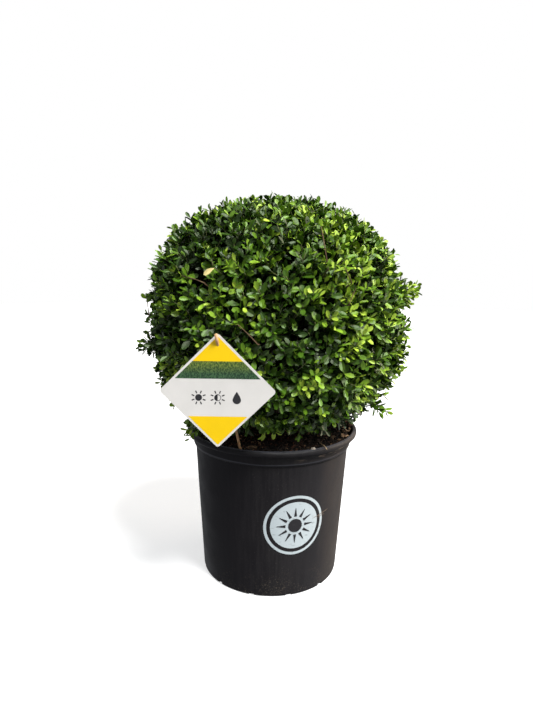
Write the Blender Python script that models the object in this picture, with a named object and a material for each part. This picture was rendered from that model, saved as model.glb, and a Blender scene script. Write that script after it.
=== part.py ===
"""A clipped Japanese holly ball in a round nursery pot, with its plant label on a splint.

Metres, +Z up. The origin is the centre of the pot's flat underside, and -Y is the front.
The pot, its compost, the short trunk, each bough and the clipped crown are objects of their own.
"""

import math
import random

import bmesh
import bpy
from mathutils import Matrix, Vector
from mathutils.bvhtree import BVHTree

GAP = 0.0003  # clearance between pieces that touch

# Pot
POT_SIDES = 48
POT_HEIGHT = 0.245
RIM_RADIUS = 0.1405
FOOT_RADIUS = 0.1135
SHOULDER_RADIUS = 0.1266
SHOULDER_HEIGHT = 0.2170
COLLAR_RADIUS = 0.1300
COLLAR_HEIGHT = 0.2205
COLLAR_TOP = 0.2335
WALL = 0.0025
FLOOR = 0.004
DRAIN_SLOTS = 12
DRAIN_SLOT_SIZE = (0.010, 0.009, 0.011)

# Compost
SOIL_LEVEL = 0.2365
SOIL_RINGS = 5
SOIL_FLAT_RADIUS = 0.022
SOIL_HEAP = 0.0045

# Crown: its clipped surface is a superellipse turned about an upright axis, with low waves
CROWN_CENTRE = Vector((0.003, 0.0, 0.420))
CROWN_RADIUS = 0.203
CROWN_RISE = 0.186
CROWN_DROP = 0.180
CROWN_POWER = 2.5
CROWN_WAVES = 0.018
CORE_SHARE = 0.89
CORE_SIDES = 26
CORE_ROUGHNESS = 0.012
HOLLOW_CENTRE = Vector((0.002, 0.0, 0.375))
HOLLOW_RADIUS = 0.120
HOLLOW_RISE = 0.150
HOLLOW_SIDES = 16

# Trunk and boughs
TRUNK_TOP = Vector((0.007, -0.004, 0.508))
TRUNK_RADII = (0.0165, 0.0125, 0.0108, 0.0088, 0.0055)
BOUGHS = 6
BOUGH_START = 0.288
BOUGH_STEP = 0.013
BOUGH_RADII = (0.0056, 0.0046, 0.0036)
BOUGH_SHORT_OF_LEAVES = 0.006
STEM_LENGTH = 0.030

# Shoots, twigs and leaves: the leaves are twice life size, because there are few of them
SHOOTS = 32
LOWEST_SHOOT = -0.76
SHOOT_RADIUS = 0.0026
FORK_DEPTH = 0.020
TWIGS_PER_SHOOT = 3
TWIG_SPREAD = (0.17, 0.24)
TWIG_RADIUS = 0.0017
TWIG_TIP_RADIUS = 0.0011
TWIG_SHORT_OF_SURFACE = (0.013, 0.018)
LEAVES_PER_TWIG = 3
LEAF_SPACING = 0.0040
LEAF_TRIES = 4
LEAF_RISE = (0.15, 0.50)
TIP_LEAF_SUNK = 0.0016
LEAF_LENGTH = 0.036
LEAF_WIDTH = 0.022
LEAF_WIDEST = 0.54
LEAF_THICKNESS = 0.0014
LEAF_FOLD = 0.0022
GOLDEN_ANGLE = math.radians(137.5)
GOLDEN_SHARE = 0.618

# Shoots that have outgrown the clipping: azimuth from +X, elevation, length past the surface
STRAY_SHOOTS = [
    (-6, 13, 0.029),
    (-3, -2, 0.020),
    (-10, -19, 0.019),
    (-14, -38, 0.044),
    (187, -11, 0.025),
    (176, 9, 0.015),
    (-84, 86, 0.010),
    (62, 8, 0.020),
    (118, -20, 0.022),
    (98, 34, 0.014),
    (146, 3, 0.014),
    (215, -33, 0.016),
]

# Label and splint
LABEL_SIDE = 0.1065
LABEL_THICKNESS = 0.0009
LABEL_CORNER = 0.0035
LABEL_CENTRE = Vector((-0.0725, -0.201, 0.3480))
SLOT_SIZE = (0.0062, 0.02, 0.0135)
SLOT_BELOW_CORNER = 0.0135
SPLINT_RADIUS = 0.0021
SPLINT_IN_SOIL = Vector((-0.047, -0.112, SOIL_LEVEL))
SPLINT_DEPTH = 0.050
SPLINT_PAST_SLOT = 0.014
FOLIAGE_CLEARANCE = 0.0015
LABEL_VIEW = 0.04


def clear_scene():
    for obj in list(bpy.data.objects):
        bpy.data.objects.remove(obj)


def material(name, colour, roughness):
    made = bpy.data.materials.new(name)
    made.use_nodes = True
    shader = made.node_tree.nodes["Principled BSDF"]
    shader.inputs["Base Color"].default_value = (*colour, 1.0)
    shader.inputs["Roughness"].default_value = roughness
    shader.inputs["Metallic"].default_value = 0.0
    return made


def add_mesh(name, bm, surface, smooth=False):
    """Makes an object of a bmesh, with its faces pointing out."""
    bmesh.ops.recalc_face_normals(bm, faces=bm.faces[:])
    mesh = bpy.data.meshes.new(name)
    bm.to_mesh(mesh)
    bm.free()
    if smooth:
        mesh.shade_smooth()
        mesh.set_sharp_from_angle(angle=math.radians(35))
    mesh.materials.append(surface)
    obj = bpy.data.objects.new(name, mesh)
    bpy.context.scene.collection.objects.link(obj)
    return obj


def apply_modifiers(obj):
    graph = bpy.context.evaluated_depsgraph_get()
    mesh = bpy.data.meshes.new_from_object(obj.evaluated_get(graph))
    obj.modifiers.clear()
    obj.data = mesh


def cut(obj, cutter):
    """Cuts the cutter out of the object, and removes it."""
    modifier = obj.modifiers.new("cut", "BOOLEAN")
    modifier.operation = "DIFFERENCE"
    modifier.object = cutter
    apply_modifiers(obj)
    bpy.data.objects.remove(cutter)


def turned(profile):
    """A bmesh turned about Z from (radius, height) points that start and end on the axis."""
    bm = bmesh.new()
    verts = [bm.verts.new((radius, 0.0, height)) for radius, height in profile]
    edges = [bm.edges.new(pair) for pair in zip(verts, verts[1:])]
    bmesh.ops.spin(bm, geom=verts + edges, axis=(0, 0, 1), angle=math.tau, steps=POT_SIDES, use_merge=True)
    bmesh.ops.remove_doubles(bm, verts=bm.verts[:], dist=1e-6)
    return bm


def rod(start, end, radius, end_radius, sides):
    """A bmesh of a straight tapering rod with flat ends."""
    along = end - start
    bm = bmesh.new()
    place = Matrix.Translation((start + end) / 2) @ along.to_track_quat("Z", "Y").to_matrix().to_4x4()
    bmesh.ops.create_cone(
        bm, cap_ends=True, segments=sides, radius1=radius, radius2=end_radius, depth=along.length, matrix=place
    )
    return bm


def limb(name, points, radii, surface, resolution=2):
    """A tapering limb along a smooth curve through the points."""
    curve = bpy.data.curves.new(name, "CURVE")
    curve.dimensions = "3D"
    curve.bevel_depth = 1.0
    curve.bevel_resolution = resolution
    curve.use_fill_caps = True
    curve.resolution_u = 4
    spline = curve.splines.new("BEZIER")
    spline.bezier_points.add(len(points) - 1)
    for index, (knot, point) in enumerate(zip(spline.bezier_points, points)):
        before = points[max(index - 1, 0)]
        after = points[min(index + 1, len(points) - 1)]
        along = (after - before).normalized()
        knot.co = point
        knot.handle_left = point - along * (point - before).length / 3
        knot.handle_right = point + along * (after - point).length / 3
        knot.radius = radii[index]
    guide = bpy.data.objects.new(name, curve)
    bpy.context.scene.collection.objects.link(guide)
    graph = bpy.context.evaluated_depsgraph_get()
    bm = bmesh.new()
    bm.from_mesh(bpy.data.meshes.new_from_object(guide.evaluated_get(graph)))
    bpy.data.objects.remove(guide)
    bmesh.ops.remove_doubles(bm, verts=bm.verts[:], dist=1e-6)
    return add_mesh(name, bm, surface, smooth=True)


# Pot and compost


def pot_profile():
    """The pot's section: foot, drafted wall, stepped collar, rolled rim, and down again inside."""
    foot = [(0.0, 0.0), (FOOT_RADIUS - 0.0045, 0.0), (FOOT_RADIUS - 0.001, 0.0015), (FOOT_RADIUS, 0.005)]
    wall = [(SHOULDER_RADIUS, SHOULDER_HEIGHT), (SHOULDER_RADIUS + 0.0020, SHOULDER_HEIGHT + 0.0012)]
    collar = [(COLLAR_RADIUS, COLLAR_HEIGHT), (COLLAR_RADIUS + 0.0012, COLLAR_TOP)]
    lip = [(RIM_RADIUS - 0.0035, COLLAR_TOP + 0.0018), (RIM_RADIUS - 0.0005, COLLAR_TOP + 0.0042)]
    lip += [(RIM_RADIUS, 0.2412), (RIM_RADIUS - 0.0013, 0.2440)]
    lip += [(RIM_RADIUS - 0.0040, POT_HEIGHT), (RIM_RADIUS - 0.0065, 0.2438), (RIM_RADIUS - 0.0083, 0.2395)]
    inside = [(COLLAR_RADIUS + 0.0012 - WALL, COLLAR_TOP + 0.0010), (COLLAR_RADIUS - WALL, COLLAR_HEIGHT)]
    inside += [(SHOULDER_RADIUS - WALL, SHOULDER_HEIGHT), (FOOT_RADIUS - WALL, FLOOR), (0.0, FLOOR)]
    return foot + wall + collar + lip + inside


def make_pot(surface):
    pot = add_mesh("pot", turned(pot_profile()), surface, smooth=True)
    slots = bmesh.new()
    for index in range(DRAIN_SLOTS):
        turn = Matrix.Rotation(math.tau * (index + 0.5) / DRAIN_SLOTS, 4, "Z")
        place = turn @ Matrix.Translation((FOOT_RADIUS, 0, 0)) @ Matrix.Diagonal((*DRAIN_SLOT_SIZE, 1.0))
        bmesh.ops.create_cube(slots, size=1.0, matrix=place)
    cut(pot, add_mesh("drain_slots", slots, surface))


def heap(radius, angle):
    """How far the compost's surface lies above its level: flat round the trunk, uneven beyond."""
    away = max(0.0, radius - SOIL_FLAT_RADIUS) / RIM_RADIUS
    waves = 0.7 * math.sin(2 * angle + 0.6) + 0.4 * math.sin(5 * angle + 1.9) + 0.7 * math.cos(angle - 0.3)
    return SOIL_HEAP * away * waves


def make_soil(surface):
    """The compost fills the pot a gap clear of its wall, with a hole for the splint."""
    side = GAP / math.cos(math.pi / POT_SIDES) + 0.0002
    inner = [point for point in pot_profile()[-4:] if point[0] > 0]
    wall = [(radius - side, height + GAP * (height == FLOOR)) for radius, height in reversed(inner)]
    edge = COLLAR_RADIUS - WALL - side
    rings = [
        (SOIL_FLAT_RADIUS + (edge - SOIL_FLAT_RADIUS) * ring / SOIL_RINGS, SOIL_LEVEL)
        for ring in range(SOIL_RINGS, -1, -1)
    ]
    bm = turned([(0.0, FLOOR + GAP), *wall, (edge, SOIL_LEVEL - 0.005), *rings, (0.0, SOIL_LEVEL)])
    for vert in bm.verts:
        if vert.co.z > SOIL_LEVEL - 1e-4:
            vert.co.z += heap(vert.co.xy.length, math.atan2(vert.co.y, vert.co.x))
    soil = add_mesh("soil", bm, surface)
    foot, _, tip = splint_line()
    sink = (tip - foot).normalized() * GAP * 2
    radius = SPLINT_RADIUS + GAP * 1.5
    cut(soil, add_mesh("splint_hole", rod(foot - sink, tip, radius, radius, sides=8), surface))


# Label and its splint


def splint_line():
    """The splint's foot in the compost, its crossing of the label's slot, and its tip."""
    slot = LABEL_CENTRE + Vector((0, 0, LABEL_SIDE * math.sqrt(0.5) - SLOT_BELOW_CORNER))
    along = (slot - SPLINT_IN_SOIL).normalized()
    return SPLINT_IN_SOIL - along * SPLINT_DEPTH, slot, slot + along * SPLINT_PAST_SLOT


def make_splint(surface):
    foot, _, tip = splint_line()
    add_mesh("label_splint", rod(foot, tip, SPLINT_RADIUS * 0.85, SPLINT_RADIUS, sides=8), surface)


def make_label(surface):
    """A square card that hangs by one corner, with its corners rounded and a slot for the splint."""
    bm = bmesh.new()
    hung = Matrix.Rotation(math.radians(90), 4, "X") @ Matrix.Rotation(math.radians(45), 4, "Z")
    bmesh.ops.create_grid(bm, x_segments=1, y_segments=1, size=LABEL_SIDE / 2, matrix=hung)
    bmesh.ops.bevel(bm, geom=bm.verts[:], offset=LABEL_CORNER, segments=3, profile=0.5, affect="VERTICES")
    sheet = bmesh.ops.extrude_face_region(bm, geom=bm.faces[:])
    back = [item for item in sheet["geom"] if isinstance(item, bmesh.types.BMVert)]
    bmesh.ops.translate(bm, verts=back, vec=(0, LABEL_THICKNESS, 0))
    bmesh.ops.translate(bm, verts=bm.verts[:], vec=LABEL_CENTRE - Vector((0, LABEL_THICKNESS / 2, 0)))
    label = add_mesh("label", bm, surface)
    slot = bmesh.new()
    place = Matrix.Translation(splint_line()[1]) @ Matrix.Diagonal((*SLOT_SIZE, 1.0))
    bmesh.ops.create_cube(slot, size=1.0, matrix=place)
    cut(label, add_mesh("label_slot", slot, surface))


# The crown's outline


def heading(azimuth, elevation):
    """A unit vector from degrees: azimuth 0 points along +X and 90 along +Y."""
    azimuth, elevation = math.radians(azimuth), math.radians(elevation)
    flat = math.cos(elevation)
    return Vector((flat * math.cos(azimuth), flat * math.sin(azimuth), math.sin(elevation)))


def crown_reach(direction):
    """How far the clipped surface lies from the crown's centre along a unit vector."""
    flat = math.hypot(direction.x, direction.y) / CROWN_RADIUS
    tall = abs(direction.z) / (CROWN_RISE if direction.z > 0 else CROWN_DROP)
    even = (flat**CROWN_POWER + tall**CROWN_POWER) ** (-1 / CROWN_POWER)
    turn = math.atan2(direction.y, direction.x)
    waves = 0.55 * math.sin(3 * turn + 0.7 + 2.1 * direction.z) + 0.45 * math.sin(5 * turn - 1.3 - 3 * direction.z)
    return even * (1 + CROWN_WAVES * waves * (1 - direction.z**2))


def crown_point(direction, inset):
    return CROWN_CENTRE + direction * (crown_reach(direction) - inset)


def is_free(point):
    """Whether foliage may fill a point: not in or close over the pot, and not in the limbs' hollow."""
    if point.xy.length > RIM_RADIUS + 0.004:
        return True
    away = point - HOLLOW_CENTRE
    in_hollow = (away.xy.length / HOLLOW_RADIUS) ** 2 + (away.z / HOLLOW_RISE) ** 2 < 1
    return point.z > POT_HEIGHT + 0.003 and not in_hollow


def obstacles():
    """Shapes that no twig or leaf may meet: the splint, and the label with the air before it."""
    foot, _, tip = splint_line()
    radius = SPLINT_RADIUS + FOLIAGE_CLEARANCE
    past = (tip - foot).normalized() * FOLIAGE_CLEARANCE
    side = LABEL_SIDE + 2 * FOLIAGE_CLEARANCE
    card = bmesh.new()
    hung = Matrix.Rotation(math.radians(45), 4, "Y") @ Matrix.Diagonal((side, LABEL_VIEW, side, 1.0))
    middle = LABEL_CENTRE + Vector((0, 2 * FOLIAGE_CLEARANCE - LABEL_VIEW / 2, 0))
    bmesh.ops.create_cube(card, size=1.0, matrix=Matrix.Translation(middle) @ hung)
    return [BVHTree.FromBMesh(rod(foot, tip + past, radius, radius, sides=8)), BVHTree.FromBMesh(card)]


# Trunk and boughs


def trunk_line():
    """A flared foot that stands straight in the compost, then a slight lean and bow."""
    foot = Vector((0, 0, SOIL_LEVEL + GAP))
    rise = foot + Vector((0, 0, 0.007))
    low = rise.lerp(TRUNK_TOP, 0.28) + Vector((0.003, 0.001, 0))
    high = rise.lerp(TRUNK_TOP, 0.64) + Vector((-0.003, 0.002, 0))
    return [foot, rise, low, high, TRUNK_TOP]


def make_trunk(surface):
    limb("trunk", trunk_line(), TRUNK_RADII, surface, resolution=3)


def bough_line(index):
    """From inside the trunk, out and up to just short of the leafy shell."""
    outward = heading(20 + 360 * index / BOUGHS, 0)
    start = Vector((0.002, 0, BOUGH_START + BOUGH_STEP * (index * 2 % (BOUGHS - 1))))
    lift = math.radians(4 + 44 * (index * GOLDEN_SHARE % 1))
    flat = math.cos(lift) * HOLLOW_RADIUS - BOUGH_SHORT_OF_LEAVES
    tip = HOLLOW_CENTRE + outward * flat + Vector((0, 0, math.sin(lift) * HOLLOW_RISE - BOUGH_SHORT_OF_LEAVES))
    bend = start.lerp(tip, 0.5) + outward * 0.012 - Vector((0, 0, 0.010))
    return [start, bend, tip]


def make_bough(index, surface):
    bough = limb(f"bough_{index + 1}", bough_line(index), BOUGH_RADII, surface)
    room = [radius + GAP * 1.5 for radius in TRUNK_RADII]
    cut(bough, limb("trunk_room", trunk_line(), room, surface, resolution=3))


# Foliage


def core():
    """The dense heart of the crown: a smaller ball, hollowed from below round the limbs."""
    bm = bmesh.new()
    bmesh.ops.create_uvsphere(bm, u_segments=CORE_SIDES, v_segments=CORE_SIDES // 2, radius=1.0)
    rough = random.Random(5)
    for vert in bm.verts:
        direction = vert.co.normalized()
        share = CORE_SHARE + rough.uniform(-CORE_ROUGHNESS, CORE_ROUGHNESS)
        vert.co = CROWN_CENTRE + direction * crown_reach(direction) * share
    return bm


def hollow():
    bm = bmesh.new()
    bmesh.ops.create_uvsphere(bm, u_segments=HOLLOW_SIDES, v_segments=HOLLOW_SIDES // 2, radius=1.0)
    size = Matrix.Diagonal((HOLLOW_RADIUS, HOLLOW_RADIUS, HOLLOW_RISE, 1.0))
    bmesh.ops.transform(bm, verts=bm.verts[:], matrix=Matrix.Translation(HOLLOW_CENTRE) @ size)
    return bm


LEAF_FACES = [(0, 3, 4), (3, 2, 4), (2, 1, 4), (1, 0, 4), (3, 0, 5), (2, 3, 5), (1, 2, 5), (0, 1, 5)]


def leaf_points(root, along, face_up, size):
    """A folded leaf's root, left, tip, right, upper middle and lower middle, from a root on its twig's axis."""
    along = along.normalized()
    side = along.cross(face_up).normalized()
    up = side.cross(along)
    middle = root + along * LEAF_LENGTH * size * LEAF_WIDEST
    edge = side * LEAF_WIDTH * size / 2
    fold = up * LEAF_FOLD
    thick = up * LEAF_THICKNESS / 2
    tip = root + along * LEAF_LENGTH * size - fold
    return [root, middle - edge + fold, tip, middle + edge + fold, middle + thick, middle - thick]


class Foliage:
    """Grows twigs and leaves from one stem by a seeded rule, and keeps each piece in a collection."""

    def __init__(self, seed):
        self.random = random.Random(seed)
        self.pieces = bpy.data.collections.new("foliage_pieces")
        bpy.context.scene.collection.children.link(self.pieces)
        self.obstacles = obstacles()
        self.stem_tips = []
        self.leaves = []

    def add(self, bm):
        bmesh.ops.recalc_face_normals(bm, faces=bm.faces[:])
        mesh = bpy.data.meshes.new("foliage_piece")
        bm.to_mesh(mesh)
        bm.free()
        self.pieces.objects.link(bpy.data.objects.new("foliage_piece", mesh))

    def fits(self, points, faces, others):
        """Whether a shape keeps in the crown's space and meets none of the others."""
        middles = [sum((points[index] for index in face), Vector()) / len(face) for face in faces]
        if not all(is_free(point) for point in points + middles):
            return False
        shape = BVHTree.FromPolygons(points, faces)
        return not any(shape.overlap(other) for other in others)

    def leaf(self, root, along, face_up, size=1.0):
        """Adds a leaf and says so, unless it doesn't fit among the leaves already there."""
        points = leaf_points(root, along, face_up, size)
        if not self.fits(points, LEAF_FACES, self.obstacles + self.leaves):
            return False
        bm = bmesh.new()
        verts = [bm.verts.new(point) for point in points]
        for face in LEAF_FACES:
            bm.faces.new([verts[index] for index in face])
        self.add(bm)
        self.leaves.append(BVHTree.FromPolygons(points, LEAF_FACES))
        return True

    def twig(self, start, end, tip_lean=(0.8, 1.6)):
        """A twig with a leaf at its tip, and leaves set round it that turn their faces to the light."""
        bm = rod(start, end, TWIG_RADIUS, TWIG_TIP_RADIUS, sides=3)
        faces = [[vert.index for vert in face.verts] for face in bm.faces]
        if not self.fits([vert.co.copy() for vert in bm.verts], faces, self.obstacles):
            bm.free()
            return
        self.add(bm)
        along = (end - start).normalized()
        light = (end - CROWN_CENTRE).normalized()
        side = Matrix.Rotation(self.random.uniform(0, math.tau), 3, light) @ light.orthogonal().normalized()
        tip_along = light + side * self.random.uniform(*tip_lean)
        self.leaf(end - along * TIP_LEAF_SUNK, tip_along, light, size=0.9)
        for step in range(LEAVES_PER_TWIG):
            root = end - along * LEAF_SPACING * (step + 0.8)
            for again in range(LEAF_TRIES):
                around = Matrix.Rotation((step + 1 + again * 0.23) * GOLDEN_ANGLE, 3, light) @ side
                if self.leaf(root, around + light * self.random.uniform(*LEAF_RISE), light):
                    break

    def shoot(self, direction, past=0.0):
        """A shoot from the nearest stem, that forks under the clipped surface into leafy twigs."""
        fork = CROWN_CENTRE + direction * (crown_reach(direction) * CORE_SHARE - FORK_DEPTH)
        start = min(self.stem_tips, key=lambda tip: (tip - fork).length)
        if is_free(start.lerp(fork, 0.5)):
            self.add(rod(start, fork, SHOOT_RADIUS, TWIG_RADIUS, sides=3))
        if past:
            self.twig(fork, crown_point(direction, LEAF_LENGTH * 0.85 - past), tip_lean=(0.1, 0.3))
            return
        side = Matrix.Rotation(self.random.uniform(0, math.tau), 3, direction) @ direction.orthogonal().normalized()
        for step in range(TWIGS_PER_SHOOT):
            around = Matrix.Rotation(math.tau * step / TWIGS_PER_SHOOT, 3, direction) @ side
            lean = (direction + around * self.random.uniform(*TWIG_SPREAD)).normalized()
            self.twig(fork, crown_point(lean, self.random.uniform(*TWIG_SHORT_OF_SURFACE)))

    def stem(self, points, radius):
        """A stem that goes on from a limb's tip, a gap clear of it, into the core."""
        along = (points[-1] - points[-2]).normalized()
        start = points[-1] + along * GAP
        tip = start + along * STEM_LENGTH
        self.add(rod(start, tip, radius, radius * 0.8, sides=8))
        self.stem_tips.append(tip)

    def grow(self):
        self.stem(trunk_line(), TRUNK_RADII[-1])
        for index in range(BOUGHS):
            self.stem(bough_line(index), BOUGH_RADII[-1])
        for index in range(SHOOTS):
            level = 1 + (LOWEST_SHOOT - 1) * (index + 0.5) / SHOOTS
            flat = math.sqrt(1 - level * level)
            turn = index * GOLDEN_ANGLE
            self.shoot(Vector((flat * math.cos(turn), flat * math.sin(turn), level)))
        for azimuth, elevation, past in STRAY_SHOOTS:
            self.shoot(heading(azimuth, elevation), past)

    def join(self, surface):
        """One union of the core and every piece that stands out of it."""
        crown = add_mesh("foliage", core(), surface)
        cut(crown, add_mesh("hollow", hollow(), surface))
        modifier = crown.modifiers.new("join", "BOOLEAN")
        modifier.operation = "UNION"
        modifier.operand_type = "COLLECTION"
        modifier.solver = "MANIFOLD"
        modifier.collection = self.pieces
        apply_modifiers(crown)
        for piece in list(self.pieces.objects):
            bpy.data.objects.remove(piece)
        bpy.data.collections.remove(self.pieces)
        print("foliage:", len(self.leaves), "leaves,", len(crown.data.polygons), "faces")


def main():
    clear_scene()
    plastic = material("pot_plastic", (0.018, 0.018, 0.020), 0.45)
    compost = material("compost", (0.045, 0.026, 0.016), 0.95)
    bark = material("bark", (0.16, 0.115, 0.075), 0.85)
    leaves = material("leaves", (0.055, 0.17, 0.025), 0.38)
    card = material("label_card", (0.82, 0.80, 0.76), 0.35)
    cane = material("splint_cane", (0.52, 0.36, 0.20), 0.7)
    make_pot(plastic)
    make_soil(compost)
    make_label(card)
    make_splint(cane)
    make_trunk(bark)
    for index in range(BOUGHS):
        make_bough(index, bark)
    foliage = Foliage(seed=11)
    foliage.grow()
    foliage.join(leaves)


main()
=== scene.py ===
# A Japanese holly clipped to a ball, in its nursery pot: the finish of every surface.
import functools
import math
import random

import bmesh
import bpy
import numpy as np
from mathutils import Matrix, Vector, noise


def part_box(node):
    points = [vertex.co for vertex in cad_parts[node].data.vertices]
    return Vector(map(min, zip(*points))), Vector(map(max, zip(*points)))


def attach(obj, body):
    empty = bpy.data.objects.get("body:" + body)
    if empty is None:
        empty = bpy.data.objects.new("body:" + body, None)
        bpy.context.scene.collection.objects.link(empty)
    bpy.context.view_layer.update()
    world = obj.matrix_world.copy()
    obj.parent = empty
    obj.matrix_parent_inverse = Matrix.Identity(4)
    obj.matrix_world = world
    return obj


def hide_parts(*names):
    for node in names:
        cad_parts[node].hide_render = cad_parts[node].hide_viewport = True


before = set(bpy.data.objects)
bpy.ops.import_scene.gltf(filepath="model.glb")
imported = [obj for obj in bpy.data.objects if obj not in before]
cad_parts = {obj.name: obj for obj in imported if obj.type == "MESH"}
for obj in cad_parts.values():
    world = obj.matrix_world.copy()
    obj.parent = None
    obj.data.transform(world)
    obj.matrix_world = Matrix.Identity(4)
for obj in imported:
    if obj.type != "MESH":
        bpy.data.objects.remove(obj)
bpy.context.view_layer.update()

up = Vector((0, 0, 1))
goldenAngle = math.radians(137.5)
goldenShare = 0.618


# Materials: small helpers, then one function for each finish beside its piece

def startMaterial(name, roughness, **sockets):
    made = bpy.data.materials.new(name)
    made.use_nodes = True
    shader = made.node_tree.nodes["Principled BSDF"]
    shader.inputs["Roughness"].default_value = roughness
    for socket, value in sockets.items():
        shader.inputs[socket.replace("_", " ")].default_value = value
    return made, made.node_tree, shader


def objectNoise(tree, scale, detail=4.0, stretch=(1, 1, 1), distortion=0.0):
    place = tree.nodes.new("ShaderNodeTexCoord")
    mapping = tree.nodes.new("ShaderNodeMapping")
    mapping.inputs["Scale"].default_value = stretch
    texture = tree.nodes.new("ShaderNodeTexNoise")
    texture.inputs["Scale"].default_value = scale
    texture.inputs["Detail"].default_value = detail
    texture.inputs["Distortion"].default_value = distortion
    tree.links.new(place.outputs["Object"], mapping.inputs["Vector"])
    tree.links.new(mapping.outputs["Vector"], texture.inputs["Vector"])
    return texture.outputs["Fac"]


def objectAxis(tree, axis):
    place = tree.nodes.new("ShaderNodeTexCoord")
    split = tree.nodes.new("ShaderNodeSeparateXYZ")
    tree.links.new(place.outputs["Object"], split.inputs["Vector"])
    return split.outputs[axis]


def ranged(tree, value, low, high, toLow=0.0, toHigh=1.0):
    spread = tree.nodes.new("ShaderNodeMapRange")
    spread.inputs["From Min"].default_value = low
    spread.inputs["From Max"].default_value = high
    spread.inputs["To Min"].default_value = toLow
    spread.inputs["To Max"].default_value = toHigh
    tree.links.new(value, spread.inputs["Value"])
    return spread.outputs["Result"]


def combined(tree, operation, first, second):
    maths = tree.nodes.new("ShaderNodeMath")
    maths.operation = operation
    for socket, value in zip(maths.inputs, (first, second)):
        if isinstance(value, (int, float)):
            socket.default_value = value
        else:
            tree.links.new(value, socket)
    return maths.outputs["Value"]


def blended(tree, share, first, second):
    mix = tree.nodes.new("ShaderNodeMix")
    mix.data_type = "RGBA"
    tree.links.new(share, mix.inputs["Factor"])
    for socket, value in zip((mix.inputs["A"], mix.inputs["B"]), (first, second)):
        # the node's colour sockets come after its number and vector sockets of the same name
        colour = [s for s in mix.inputs if s.name == socket.name and s.type == "RGBA"][0]
        if isinstance(value, tuple):
            colour.default_value = (*value, 1.0)
        else:
            tree.links.new(value, colour)
    return [s for s in mix.outputs if s.type == "RGBA"][0]


def bumped(tree, shader, height, distance, strength=1.0):
    bump = tree.nodes.new("ShaderNodeBump")
    bump.inputs["Distance"].default_value = distance
    bump.inputs["Strength"].default_value = strength
    tree.links.new(height, bump.inputs["Height"])
    tree.links.new(bump.outputs["Normal"], shader.inputs["Normal"])


def mottled(name, tones, roughness, pattern, mix, relief, bump, **sockets):
    # two tones mixed by one noise, under the relief of another
    made, tree, shader = startMaterial(name, roughness, **sockets)
    colour = blended(tree, ranged(tree, objectNoise(tree, *pattern), *mix), *tones)
    tree.links.new(colour, shader.inputs["Base Color"])
    bumped(tree, shader, objectNoise(tree, *relief), *bump)
    return made


# Meshes

def addPiece(name, mesh, material, replaces=(), smooth=True):
    if isinstance(mesh, bmesh.types.BMesh):
        bm = mesh
        mesh = bpy.data.meshes.new(name)
        bm.to_mesh(mesh)
        bm.free()
    if smooth:
        mesh.shade_smooth()
    mesh.materials.clear()
    mesh.materials.append(material)
    piece = bpy.data.objects.new(name, mesh)
    bpy.context.scene.collection.objects.link(piece)
    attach(piece, "root")
    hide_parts(*replaces)
    return piece


def meshFromArrays(name, points, triangles):
    mesh = bpy.data.meshes.new(name)
    mesh.vertices.add(len(points))
    mesh.vertices.foreach_set("co", np.ascontiguousarray(points, dtype=np.float32).ravel())
    mesh.loops.add(triangles.size)
    mesh.loops.foreach_set("vertex_index", np.ascontiguousarray(triangles, dtype=np.int32).ravel())
    mesh.polygons.add(len(triangles))
    mesh.polygons.foreach_set("loop_start", np.arange(0, triangles.size, 3, dtype=np.int32))
    mesh.update(calc_edges=True)
    return mesh


def copiesMesh(name, copies, triangles):
    # one mesh of many placed copies of a template
    copies = np.asarray(copies)
    shifts = (np.arange(len(copies)) * copies.shape[1])[:, None, None]
    return meshFromArrays(name, copies.reshape(-1, 3), (triangles[None] + shifts).reshape(-1, 3))


def moved(points, matrix):
    matrix = np.array(matrix)
    return points @ matrix[:3, :3].T + matrix[:3, 3]


def extrudeEdges(bm, edges):
    # gives the new vertices, and the new edges that run between them
    grown = bmesh.ops.extrude_edge_only(bm, edges=edges)["geom"]
    verts = [item for item in grown if isinstance(item, bmesh.types.BMVert)]
    edges = [item for item in grown if isinstance(item, bmesh.types.BMEdge)]
    return verts, [edge for edge in edges if all(vert in verts for vert in edge.verts)]


def templateArrays(bm):
    bmesh.ops.triangulate(bm, faces=bm.faces[:])
    bm.verts.index_update()
    points = np.array([vert.co[:] for vert in bm.verts])
    triangles = np.array([[vert.index for vert in face.verts] for face in bm.faces])
    bm.free()
    return points, triangles


def turned(profile, sides):
    # a closed shape turned about Z from (radius, height) points that start and end on the axis
    bm = bmesh.new()
    verts = [bm.verts.new((radius, 0.0, height)) for radius, height in profile]
    edges = [bm.edges.new(pair) for pair in zip(verts, verts[1:])]
    bmesh.ops.spin(bm, geom=verts + edges, axis=up, angle=math.tau, steps=sides, use_merge=True)
    bmesh.ops.remove_doubles(bm, verts=bm.verts[:], dist=1e-6)
    bmesh.ops.recalc_face_normals(bm, faces=bm.faces[:])
    return bm


def rounded(points, steps):
    # a smooth line through the points
    line = []
    last = len(points) - 1
    for index in range(last):
        before, start, end, after = (
            np.array(points[min(max(index + shift, 0), last)], dtype=float) for shift in (-1, 0, 1, 2)
        )
        for step in range(steps):
            t = step / steps
            line.append(tuple(
                0.5 * (2 * start + (end - before) * t + (2 * before - 5 * start + 4 * end - after) * t * t
                       + (3 * start - before - 3 * end + after) * t**3)
            ))
    return line + [tuple(points[-1])]


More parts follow.
